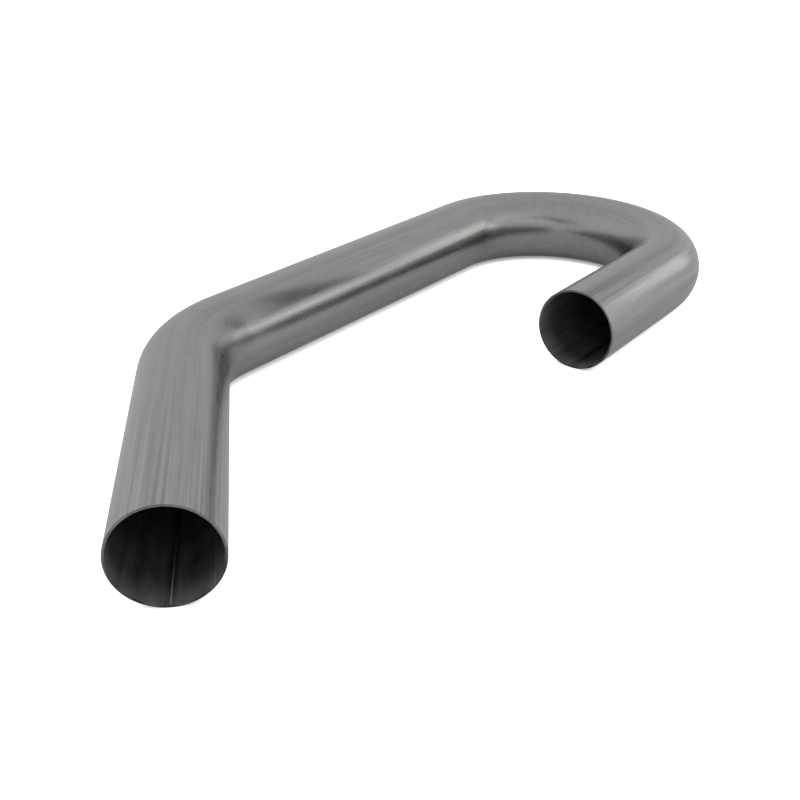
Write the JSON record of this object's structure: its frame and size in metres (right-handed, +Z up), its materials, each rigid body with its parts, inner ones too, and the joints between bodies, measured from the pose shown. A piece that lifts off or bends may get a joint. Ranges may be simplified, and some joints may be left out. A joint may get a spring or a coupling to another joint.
{
  "type": "mandrel bend tube",
  "caption": "Thin-walled stainless tube bent by mandrel in one plane: a 45 degree bend, a long straight run and a return bend, with plain deburred ends.",
  "frame": {"origin": "centre of the inlet leg's cut end, on the tube's centre line", "axes": "+Y along the middle run from the first bend to the return bend, +X towards the outlet leg's side, +Z up, square to the plane of the bends"},
  "size_m": [0.2667, 0.6864, 0.0634],
  "materials": {
    "tube_steel": "satin mill finish with lengthwise draw lines"
  },
  "bodies": {
    "root": {"bend_tube": "tube_steel"}
  },
  "joints": []
}
